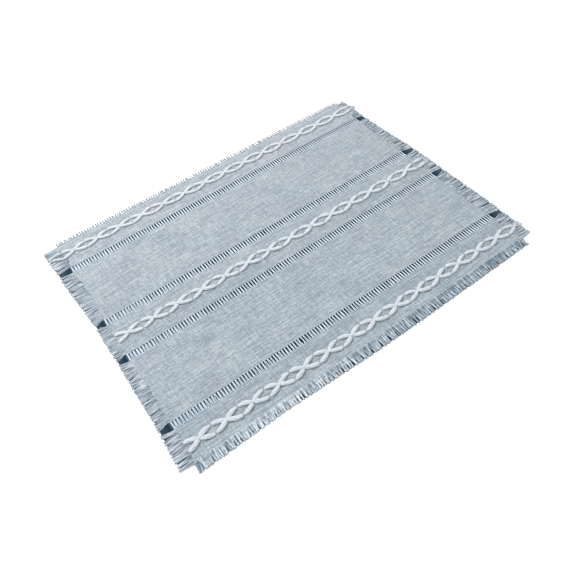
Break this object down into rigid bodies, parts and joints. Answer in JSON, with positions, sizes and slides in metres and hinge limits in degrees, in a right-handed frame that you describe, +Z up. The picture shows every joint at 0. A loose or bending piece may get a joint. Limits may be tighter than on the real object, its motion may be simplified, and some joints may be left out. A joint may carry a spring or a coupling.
{
  "type": "fabric placemat",
  "caption": "Rectangular woven cotton placemat with fringed edges, openwork ladder bands and raised rows of soft yarn chain embroidery.",
  "frame": {"origin": "bottom centre of the whole mat's box, fringes and yarn ends included, on the surface it lies on", "axes": "+X along the long side, +Y across the mat to the far edge, +Z up out of the embroidered face"},
  "size_m": [0.4894, 0.368, 0.0043],
  "materials": {
    "woven_cotton": "matt plain weave with slubs, pale grey-blue",
    "loose_threads": "matt loose threads, pale grey-blue",
    "soft_yarn": "matt soft low-twist yarn, near white"
  },
  "bodies": {
    "root": {"cloth": "woven_cotton", "fringe_far": "loose_threads", "fringe_left": "loose_threads", "fringe_near": "loose_threads", "fringe_right": "loose_threads", "chain_near": "soft_yarn", "chain_middle": "soft_yarn", "chain_far": "soft_yarn"}
  },
  "joints": []
}
